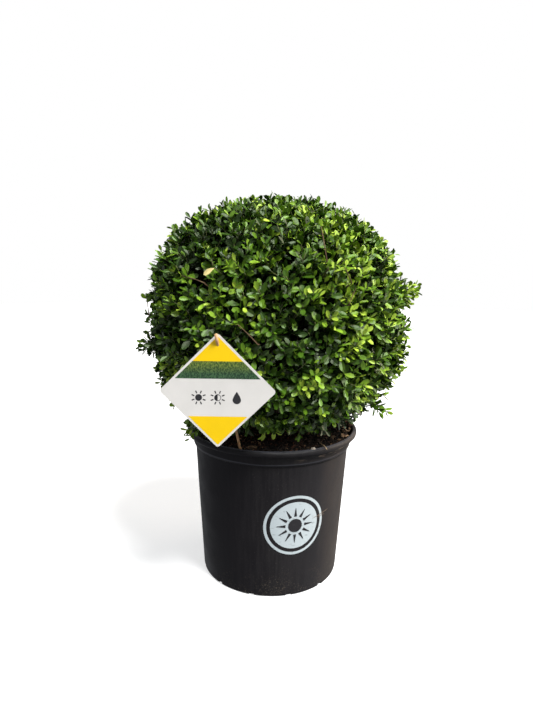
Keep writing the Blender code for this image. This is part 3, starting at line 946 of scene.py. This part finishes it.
# tints are counted from the first of those ages: a spray's own, then painted light that its side adds,
# lighter to the right and top, and what its parts add to it
agesAndPaintedLight = {
    "spray": 2.0,
    "paintedLightToRight": 0.7,
    "paintedLightToTop": 0.15,
    "ofBranchlet": -1.6,
    "ofSprig": -1.0,
    "ofStray": 0.6,
    "ofBareTwig": 2.5,
    "bright": 1.3,
    "brightWidth": math.radians(4.5),
    "flushed": 1.1,
    "flushedTip": 0.9,
    "flushedShare": 0.22,
    "thinShare": 0.15,
}
ageSpread = {"spray": 0.65, "branchlet": 0.35, "sprig": 0.50, "leaf": 0.45}
leafShade = (0.70, 1.30)


def leafMaterial(name, colour):
    tones = [tuple(part * share for part in colour) for share in leafShade]
    return mottled(
        name, tones, roughness=0.27, pattern=(55, 2), mix=(0.35, 0.65), relief=(700, 2), bump=(0.0002, 0.35),
        Specular_IOR_Level=0.55, Specular_Tint=(0.92, 1.0, 0.74, 1.0),
    )


def leafTemplate():
    bm = bmesh.new()
    bmesh.ops.create_grid(bm, x_segments=len(leaf["outline"]) - 1, y_segments=2, size=0.5)
    for vert in bm.verts:
        along, width = leaf["outline"][round((vert.co.x + 0.5) * (len(leaf["outline"]) - 1))]
        vert.co = (along, vert.co.y * width, 0)
    bmesh.ops.remove_doubles(bm, verts=bm.verts[:], dist=1e-6)
    return templateArrays(bm)


@functools.cache
def twigTemplate(sides, rings):
    # a straight tube of unit radius, a unit from ring to ring, closed at its tip
    bm = bmesh.new()
    tip = bmesh.ops.create_circle(bm, cap_ends=True, segments=sides, radius=1.0)["verts"]
    bmesh.ops.translate(bm, verts=tip, vec=up * (rings - 1))
    edges = bm.edges[:]
    for _ in range(rings - 1):
        verts, edges = extrudeEdges(bm, edges)
        bmesh.ops.translate(bm, verts=verts, vec=-up)
    bmesh.ops.recalc_face_normals(bm, faces=bm.faces[:])
    if sum(face.normal.z for face in bm.faces) < 0:
        bmesh.ops.reverse_faces(bm, faces=bm.faces[:])
    return templateArrays(bm)


crownBox = [np.array(corner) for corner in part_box("foliage")]


def creaseMidribs(mesh, points):
    # keeps the fold along each leaf's middle crisp
    middle = np.abs(points[:, 1]) < 1e-6
    ends = np.zeros(len(mesh.edges) * 2, dtype=np.int32)
    mesh.edges.foreach_get("vertices", ends)
    crease = mesh.attributes.new("sharp_edge", "BOOLEAN", "EDGE")
    crease.data.foreach_set("value", middle[ends.reshape(-1, 2) % len(points)].all(axis=1))


def isFree(points):
    # points as rows: not in or close over the pot, nor in the limbs' hollow, nor at the label or splint
    across = np.hypot(points[..., 0], points[..., 1])
    away = points - np.array(hollow["centre"])
    flat = np.hypot(away[..., 0], away[..., 1]) / hollow["radius"]
    inHollow = flat**2 + (away[..., 2] / hollow["rise"]) ** 2 < 1
    overPot = (points[..., 2] > pot["height"] + leaf["clearOfPot"]) & ~inHollow
    free = (across > pot["rimRadius"] + leaf["clearOfRim"]) | overPot
    off = points - np.array(label["centre"])
    atLabel = np.abs(off[..., 0]) + np.abs(off[..., 2]) < halfCard() + 2 * leaf["clearance"]
    atLabel &= (off[..., 1] > -label["view"]) & (off[..., 1] < 2 * leaf["clearance"])
    foot, _, tip = (np.array(point) for point in splintLine())
    along = tip - foot
    share = np.clip(((points - foot) @ along) / (along @ along), 0, 1)
    nearest = foot + share[..., None] * along
    atSplint = np.linalg.norm(points - nearest, axis=-1) < splint["radii"][-1] + leaf["clearance"]
    low, high = crownBox[0] - leaf["pastSolids"], crownBox[1] + leaf["pastSolids"]
    return free & ~atLabel & ~atSplint & np.all((points > low) & (points < high), axis=-1)


class Growth:
    # twigs and leaves that grow on from the limbs' tips by a seeded rule
    def __init__(self):
        self.chance = random.Random(crown["seed"])
        self.leaves = {name: [] for name in leafTints}
        self.twigs = {"twigs_woody": [], "twigs_green": []}
        self.tips = []
        self.clipping = [(heading(*place), width, dip) for *place, width, dip in clippedPlaces]
        self.bright = [heading(*place) for place in brightSprays]
        self.crevices = [(heading(*place), width) for *place, width in frontCrevices]
        high, low = crown["creviceLevels"]
        for index in range(crown["crevices"]):
            level = high + (low - high) * (index + 0.5) / crown["crevices"]
            turn = 60 + index * math.degrees(goldenAngle)
            width = self.chance.uniform(*crown["creviceWidth"])
            self.crevices.append((heading(turn, math.degrees(math.asin(level))), width))

    def depth(self, course):
        # how far under the clipped surface a sprig ends: in low lumps, and further where the crown opens
        openness = max(1 - math.degrees(course.angle(way)) / width for way, width in self.crevices)
        lump = noise.noise(course * crown["lumpsAcross"]) - crown["fullerTop"] * max(course.z, 0)
        inset = self.chance.uniform(*crown["sprigDepth"]) + crown["lumps"] * lump
        for way, width, dip in self.clipping:
            inset += dip * math.exp(-(math.degrees(course.angle(way)) / width) ** 2)
        return inset + crown["creviceDepth"] * max(0.0, min(1.0, 2 * openness))

    def ageChange(self, part):
        return self.chance.gauss(0, ageSpread[part])

    def sideways(self, direction):
        turn = Matrix.Rotation(self.chance.uniform(0, math.tau), 3, direction)
        return turn @ direction.orthogonal().normalized()

    def bent(self, kind, start, end):
        # a line that leaves start outward and turns up towards its end
        sag, steps = twigKinds[kind]["bend"]
        middle = start.lerp(end, 0.5) - up * sag * (end - start).length
        line = []
        for step in range(steps + 1):
            t = step / steps
            line.append(start * (1 - t) ** 2 + middle * 2 * t * (1 - t) + end * t * t)
        return line

    def addTwig(self, kind, line):
        free = isFree(np.array([point[:] for point in line[1:]])).all()
        if free:
            self.twigs[twigKinds[kind]["finish"]].append((kind, line))
        return free

    def addLeaf(self, root, axis, side, lean, size, name, roll=leaf["roll"]):
        # a leaf turns the face that looks along its twig to the light
        lean = math.radians(lean)
        along = axis * math.cos(lean) + side * math.sin(lean)
        face = axis * math.sin(lean) - side * math.cos(lean)
        face = Matrix.Rotation(self.chance.gauss(0, roll), 3, along) @ face
        length = leaf["length"] * size * self.chance.uniform(*leaf["sizes"])
        width = leaf["width"] * size * self.chance.uniform(*leaf["sizes"])
        fold = leaf["fold"] * self.chance.uniform(*leaf["folds"])
        curl = leaf["curl"] * self.chance.uniform(*leaf["curls"])
        self.leaves[name].append((*root, *along, *face, length, width, fold, curl))

    def leafy(self, kind, line, tint, flushed=False):
        # leaves in a spiral along a line, smaller and younger towards its tip. Those with no tint take the
        # near-black colour painted for shade
        first, younger, atBase, atTip = twigKinds[kind]["leaves"]
        firstLean, lastLean = leaf["lean"]
        total = sum((after - before).length for before, after in zip(line, line[1:]))
        count = max(2, round(total * (1 - first) / leaf["spacing"]))
        turn = self.chance.uniform(0, math.tau)
        for step in range(count):
            share = step / (count - 1)
            place = (first + (1 - first) * share) * (len(line) - 1)
            index = min(int(place), len(line) - 2)
            root = line[index].lerp(line[index + 1], place - index)
            axis = (line[index + 1] - line[index]).normalized()
            turn += goldenAngle
            side = Matrix.Rotation(turn, 3, axis) @ axis.orthogonal().normalized()
            lean = firstLean + (lastLean - firstLean) * share**1.5 + self.chance.gauss(0, leaf["leanSpread"])
            size = atBase + (atTip - atBase) * share**3
            name = "leaves_painted_shade"
            if tint is not None:
                age = tint + agesAndPaintedLight["flushed"] * flushed + (younger + agesAndPaintedLight["flushedTip"] * flushed) * share**2
                age = round(age + self.ageChange("leaf"))
                name = leafAges[min(max(age, 0), len(leafAges) - 1)]
            self.addLeaf(root, axis, side, lean, size, name)

    def sprig(self, start, end, tint):
        line = self.bent("sprig", start, end)
        course = (end - crown["centre"]).normalized()
        bright = any(course.angle(way) < agesAndPaintedLight["brightWidth"] for way in self.bright)
        tint += self.ageChange("sprig") + agesAndPaintedLight["bright"] * bright
        flushed = self.chance.random() < agesAndPaintedLight["flushedShare"]
        kind = "thinSprig" if self.chance.random() < agesAndPaintedLight["thinShare"] else "sprig"
        if self.addTwig(kind, line):
            self.leafy(kind, line, tint + agesAndPaintedLight["ofSprig"], flushed)

    def branchlet(self, fork, lean, tint):
        end = crownPoint(lean, self.chance.uniform(*crown["branchletDepth"]))
        line = self.bent("branchlet", fork, end)
        if not self.addTwig("branchlet", line):
            return
        self.leafy("branchlet", line, tint + agesAndPaintedLight["ofBranchlet"])
        side = self.sideways(lean)
        for step in range(crown["sprigs"]):
            around = Matrix.Rotation(math.tau * step / crown["sprigs"], 3, lean) @ side
            course = lean + around * self.chance.uniform(*crown["sprigSpread"]) + up * crown["lift"]
            course.normalize()
            self.sprig(end, crownPoint(course, self.depth(course)), tint)

    def innerTwigs(self, direction, line):
        # short twigs inside, their leaves painted near-black as shade, close the view through the crown
        for _ in range(crown["innerTwigs"]):
            root = line[-1].lerp(line[-2], self.chance.random())
            course = self.sideways(direction) + direction * self.chance.uniform(*crown["innerSlant"])
            length = self.chance.uniform(*crown["innerLength"])
            twig = self.bent("inner", root, root + course.normalized() * length)
            if self.addTwig("inner", twig):
                self.leafy("inner", twig, None)

    def shoot(self, direction, past=0.0, sprigs=0):
        fork = crown["centre"] + direction * (crownReach(direction) * crown["coreShare"] - crown["forkDepth"])
        start = min(self.tips, key=lambda tip: (tip - fork).length)
        line = self.bent("shoot", start, fork)
        self.addTwig("shoot", line)
        # painted light: sprays facing right and up take lighter tints
        tint = agesAndPaintedLight["spray"] + agesAndPaintedLight["paintedLightToRight"] * direction.x + agesAndPaintedLight["paintedLightToTop"] * direction.z
        tint += self.ageChange("spray")
        # the shoot's own leaves take the painted shade colour
        self.leafy("shoot", line, None)
        self.innerTwigs(direction, line)
        side = self.sideways(direction)
        if past:
            self.strayTuft(direction, past, fork, tint + agesAndPaintedLight["ofStray"], sprigs)
            return
        low, high = crown["branchletSpread"]
        for step in range(crown["branchlets"]):
            around = Matrix.Rotation(step * goldenAngle, 3, direction) @ side
            spread = low + (high - low) * math.sqrt((step + 0.5) / crown["branchlets"])
            course = (direction + around * spread).normalized()
            self.branchlet(fork, course, tint + self.ageChange("branchlet"))

    def strayTuft(self, direction, past, fork, tint, sprigs):
        side = self.sideways(direction)
        base = fork.lerp(crownPoint(direction, crown["tuftRoot"]), crown["tuftRootShare"])
        for step in range(sprigs):
            share = step / sprigs
            around = Matrix.Rotation(goldenAngle * step, 3, direction) @ side
            course = (direction + around * crown["tuftSpread"] * math.sqrt(share)).normalized()
            inset = self.chance.uniform(*crown["tuftInset"]) + share * crown["tuftDepth"]
            self.sprig(base, crownPoint(course, inset - past), tint)

    def addBareTwig(self, tipTurn, tipRise, turn, rise):
        tip = crownPoint(heading(tipTurn, tipRise), bareTwig["tipInset"])
        base = crownPoint(heading(turn, rise), bareTwig["baseInset"])
        foot = crownPoint(heading(turn, rise - bareTwig["footBelow"]), bareTwig["footInset"])
        line = [foot, foot.lerp(base, 0.5), *self.bent("bareTwig", base, tip)]
        if self.addTwig("bareTwig", line):
            self.leafy("bareTwig", line, agesAndPaintedLight["ofBareTwig"])

    def addFadedLeaf(self, turn, rise, tipTurn, tipRise):
        outward = heading(turn, rise)
        foot = crownPoint(outward, fadedLeaf["footInset"])
        root = crownPoint(outward, fadedLeaf["rootInset"])
        tip = crownPoint(heading(tipTurn, tipRise), fadedLeaf["tipInset"])
        self.addTwig("stalk", self.bent("stalk", foot, root))
        axis = (tip - root).normalized()
        self.addLeaf(root, axis, -outward, 0, fadedLeaf["size"], "leaves_faded", fadedLeaf["roll"])

    def grow(self):
        lines = [trunkLine()] + [boughLine(index) for index in range(bough["count"])]
        self.tips = [stemTip(line) for line in lines]
        for index in range(crown["shoots"]):
            level = 1 + (crown["lowest"] - 1) * (index + 0.5) / crown["shoots"]
            flat = math.sqrt(1 - level * level)
            turn = index * goldenAngle
            self.shoot(Vector((flat * math.cos(turn), flat * math.sin(turn), level)))
        for *place, past, sprigs in strayShoots:
            self.shoot(heading(*place), past, sprigs)
        for places in bareTwigs:
            self.addBareTwig(*places)
        for places in fadedLeaves:
            self.addFadedLeaf(*places)

    def joinLeaves(self):
        points, triangles = leafTemplate()
        x, y = points[None, :, 0, None], points[None, :, 1, None]
        total = 0
        for name, colour in leafTints.items():
            rows = np.array(self.leaves[name])
            root, along, face = (rows[:, None, first:first + 3] for first in (0, 3, 6))
            length, width, fold, curl = (rows[:, column, None, None] for column in range(9, 13))
            side = np.cross(face, along)
            raised = fold * width * np.abs(y) * 2 - curl * length * x * x
            placed = root + along * length * x + side * width * y + face * raised
            kept = placed[isFree(placed).all(axis=1)]
            mesh = copiesMesh(name, kept, triangles)
            addPiece(name, mesh, leafMaterial(name, colour), ["foliage"])
            creaseMidribs(mesh, points)
            total += len(kept)
            print(name, len(kept), "leaves")
        print("leaves:", total, "triangles:", total * len(triangles))

    def joinTwigs(self, finishes):
        acrossNone = np.array([0.31, 0.62, 0.72])  # no twig runs this way
        for name, twigs in self.twigs.items():
            points, triangles, used = [], [], 0
            for kind, line in twigs:
                tube, faces = twigTemplate(twigKinds[kind]["sides"], len(line))
                centres = np.array([point[:] for point in line])
                along = np.gradient(centres, axis=0)
                along /= np.linalg.norm(along, axis=1, keepdims=True)
                first = np.cross(along, acrossNone)
                first /= np.linalg.norm(first, axis=1, keepdims=True)
                second = np.cross(along, first)
                step = np.rint(tube[:, 2]).astype(int)
                radius = np.linspace(*twigKinds[kind]["radii"], len(line))[step, None]
                aside = tube[:, :1] * first[step] + tube[:, 1:2] * second[step]
                points.append(centres[step] + aside * radius)
                triangles.append(faces + used)
                used += len(tube)
            triangles = np.concatenate(triangles)
            mesh = meshFromArrays(name, np.concatenate(points), triangles)
            addPiece(name, mesh, finishes[name], ["foliage"])
            print(name, len(twigs), "twigs,", len(triangles), "triangles")


# The card's print: bands, with three small signs for sun, half shade and water

def cardMaterial(name, colour):
    shade = tuple(part * 0.93 for part in colour)
    return mottled(
        name, (shade, colour), roughness=0.35, pattern=(35, 4), mix=(0.3, 0.7),
        relief=(180, 2), bump=(0.0001, 0.3), Specular_IOR_Level=0.4,
    )


def leafyPrint():
    made, tree, shader = startMaterial("cardLeafy", 0.35, Specular_IOR_Level=0.4)
    specks = ranged(tree, objectNoise(tree, 480, 3, (1.4, 1, 0.8)), 0.40, 0.62)
    low, high = (label["centre"].z + level * halfCard() for level in label["sunny"])
    sunlit = ranged(tree, objectAxis(tree, "Z"), low, high)
    leafy = blended(tree, specks, *label["leafTones"])
    sunny = blended(tree, specks, *label["sunlitTones"])
    tree.links.new(blended(tree, sunlit, leafy, sunny), shader.inputs["Base Color"])
    bumped(tree, shader, objectNoise(tree, 180, 2), 0.0001, 0.3)
    return made


def ontoCard(bm):
    # a flat print in the XY plane, stood up on the card's front
    front = label["centre"].y - label["thickness"] / 2 - label["inkProud"]
    for vert in bm.verts:
        vert.co = Vector((label["centre"].x + vert.co.x, front, label["centre"].z + vert.co.y))
    for face in bm.faces:
        face.normal_update()
    bmesh.ops.reverse_faces(bm, faces=[face for face in bm.faces if face.normal.y > 0])
    return bm


def makeBand(name, material):
    low, high = label["bands"][name]
    bm = bmesh.new()
    bmesh.ops.create_grid(bm, x_segments=1, y_segments=1, size=0.5)
    for vert in bm.verts:
        level = high if vert.co.y > 0 else low
        across = math.copysign(label["border"] - abs(level), vert.co.x)
        vert.co = Vector((across, level, 0)) * halfCard()
    addPiece(name, ontoCard(bm), material, smooth=False)


def drawSun(bm, size):
    long, wide = signs["raySize"]
    bmesh.ops.create_circle(bm, cap_ends=True, segments=signs["sides"], radius=size * signs["disc"])
    for ray in range(signs["rays"]):
        turn = Matrix.Rotation(math.tau * (ray + 0.5) / signs["rays"], 4, "Z")
        place = turn @ Matrix.Translation((size * signs["rayPlace"], 0, 0))
        slim = Matrix.Diagonal((size * long, size * wide, 1, 1))
        bmesh.ops.create_grid(bm, x_segments=1, y_segments=1, size=0.5, matrix=place @ slim)


def drawHalfSun(bm, size):
    # the right half of its disc is an open ring
    drawSun(bm, size)
    disc = max(bm.faces, key=lambda face: len(face.verts))
    geom = [disc, *disc.verts, *disc.edges]
    bmesh.ops.bisect_plane(bm, geom=geom, plane_co=(0, 0, 0), plane_no=(1, 0, 0), clear_outer=True)
    ring = bmesh.ops.create_circle(bm, segments=signs["sides"], radius=size * signs["disc"])["verts"]
    inner, _ = extrudeEdges(bm, [edge for edge in bm.edges if all(vert in ring for vert in edge.verts)])
    bmesh.ops.scale(bm, verts=inner, vec=(signs["ringInside"], signs["ringInside"], 1))


def drawDrop(bm, size):
    radius = size * signs["drop"]
    made = bmesh.ops.create_circle(bm, cap_ends=True, segments=signs["sides"], radius=radius)
    for vert in made["verts"]:
        if vert.co.y > 0:
            vert.co.x *= max(0.0, 1 - vert.co.y / radius) ** 0.5
            vert.co.y *= signs["dropRise"]
    bmesh.ops.translate(bm, verts=bm.verts[:], vec=(0, -size * signs["dropBelow"], 0))


def makeSigns(material):
    row = bmesh.new()
    for index, draw in enumerate((drawSun, drawHalfSun, drawDrop)):
        sign = bmesh.new()
        draw(sign, signs["size"])
        place = ((index - 1) * signs["space"], signs["level"] * halfCard(), 0)
        bmesh.ops.translate(sign, verts=sign.verts[:], vec=place)
        mesh = bpy.data.meshes.new("sign")
        sign.to_mesh(mesh)
        sign.free()
        row.from_mesh(mesh)
        bpy.data.meshes.remove(mesh)
    addPiece("label_signs", ontoCard(row), material, smooth=False)


def makeLabel():
    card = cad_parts["label"]
    card.data.materials.clear()
    card.data.materials.append(cardMaterial("cardWhite", label["white"]))
    makeBand("label_top", cardMaterial("cardYellow", label["yellow"]))
    makeBand("label_strip", leafyPrint())
    makeBand("label_foot", cardMaterial("cardYellowFoot", label["yellow"]))
    makeSigns(cardMaterial("cardInk", label["ink"]))
    print("label: 3 bands and 3 signs")


def caneMaterial():
    return mottled(
        "cane", splint["tones"], roughness=0.62, pattern=(300, 5, (1, 1, 0.06)), mix=(0.35, 0.65),
        relief=(500, 4, (1, 1, 0.05)), bump=(0.0003, 0.6),
    )


def makeSplint(material):
    foot, _, tip = splintLine()
    line = [foot, foot.lerp(tip, 0.5), tip]
    bm = limbMesh(line, splint["radii"], splint["sides"], splint["steps"])
    addPiece("label_cane", bm, material, ["label_splint"])
    print("splint done")


# Camera, light and floor

camera = {
    "place": Vector((-0.0108, -0.87, 0.511)),
    "pitch": 9.8,
    "roll": 0.86,
    "lens": 27.19,
    "sensor": 36.0,
    "nearest": 0.01,
}
sky = {
    "strength": 0.32,
    "colour": (0.93, 0.96, 1.0),
}
paleFloor = {
    "radius": 6.0,
    "sides": 96,
    "colour": (0.50, 0.50, 0.50),
    "glow": 0.62,
}
# soft lamps: where each shines from, strength, width in degrees, colour, and the rays that meet it
lamps = {
    "key": ((0.55, -0.62, 1.30), 6.6, 18, (1.0, 1.0, 1.0), ("diffuse",)),
    "sheen": ((0.45, -0.75, 1.25), 6.5, 70, (0.95, 1.0, 0.98), ("glossy",)),
    "fill": ((-0.80, -0.90, 0.80), 0.45, 40, (1.0, 1.0, 1.0), ("diffuse",)),
    "side": ((1.20, 0.20, 0.50), 2.0, 50, (1.0, 0.88, 0.74), ("diffuse", "glossy")),
}


def setCamera(scene):
    lens = bpy.data.cameras.new("camera")
    lens.lens = camera["lens"]
    lens.sensor_width = camera["sensor"]
    lens.sensor_fit = "AUTO"
    lens.clip_start = camera["nearest"]
    eye = bpy.data.objects.new("camera", lens)
    turn = Matrix.Rotation(math.radians(90 - camera["pitch"]), 4, "X")
    turn = turn @ Matrix.Rotation(math.radians(camera["roll"]), 4, "Z")
    eye.matrix_world = Matrix.Translation(camera["place"]) @ turn
    scene.collection.objects.link(eye)
    scene.camera = eye
    scene.view_settings.view_transform = "Standard"


def setSky(scene):
    # white to the camera, and a soft light to the plant
    world = bpy.data.worlds.new("studio")
    world.use_nodes = True
    tree = world.node_tree
    lit = tree.nodes["Background"]
    lit.inputs["Color"].default_value = (*sky["colour"], 1)
    lit.inputs["Strength"].default_value = sky["strength"]
    seen = tree.nodes.new("ShaderNodeBackground")
    seen.inputs["Color"].default_value = (1, 1, 1, 1)
    path = tree.nodes.new("ShaderNodeLightPath")
    mix = tree.nodes.new("ShaderNodeMixShader")
    tree.links.new(path.outputs["Is Camera Ray"], mix.inputs["Fac"])
    tree.links.new(lit.outputs["Background"], mix.inputs[1])
    tree.links.new(seen.outputs["Background"], mix.inputs[2])
    tree.links.new(mix.outputs["Shader"], tree.nodes["World Output"].inputs["Surface"])
    scene.world = world


def setLamps(scene):
    for name, (source, strength, width, colour, rays) in lamps.items():
        sun = bpy.data.lights.new(name, "SUN")
        sun.energy = strength
        sun.angle = math.radians(width)
        sun.color = colour
        source = Vector(source)
        lamp = bpy.data.objects.new(name, sun)
        lamp.matrix_world = Matrix.Translation(source) @ source.to_track_quat("Z", "Y").to_matrix().to_4x4()
        lamp.visible_diffuse = "diffuse" in rays
        lamp.visible_glossy = "glossy" in rays
        scene.collection.objects.link(lamp)


def setFloor(scene):
    # the floor lights nothing
    bm = bmesh.new()
    bmesh.ops.create_circle(bm, cap_ends=True, segments=paleFloor["sides"], radius=paleFloor["radius"])
    mesh = bpy.data.meshes.new("floor")
    bm.to_mesh(mesh)
    bm.free()
    made, _, shader = startMaterial("paleFloor", 0.8)
    shader.inputs["Base Color"].default_value = (*paleFloor["colour"], 1)
    shader.inputs["Emission Color"].default_value = (1, 1, 1, 1)
    shader.inputs["Emission Strength"].default_value = paleFloor["glow"]
    mesh.materials.append(made)
    floor = bpy.data.objects.new("floor", mesh)
    scene.collection.objects.link(floor)
    floor.visible_diffuse = False
    floor.visible_glossy = False


def setStage():
    scene = bpy.context.scene
    setCamera(scene)
    setSky(scene)
    setLamps(scene)
    setFloor(scene)
    print("camera, light and floor done")


def main():
    setStage()
    makePot(potMaterial())
    makeBadge(
        printMaterial("badgeLight", badge["light"]),
        printMaterial("badgeDark", badge["dark"]),
        printMaterial("scratchDust", badge["dust"]),
    )
    makeSoilBed(soilMaterial("compost", soil["tones"]))
    makeLitter()
    makeLimbs(barkMaterial("bark", barkTones["bark"]))
    growth = Growth()
    growth.grow()
    growth.joinLeaves()
    growth.joinTwigs({
        "twigs_woody": barkMaterial("twigBark", barkTones["woody"]),
        "twigs_green": barkMaterial("twigGreen", barkTones["green"]),
    })
    makeLabel()
    makeSplint(caneMaterial())


main()
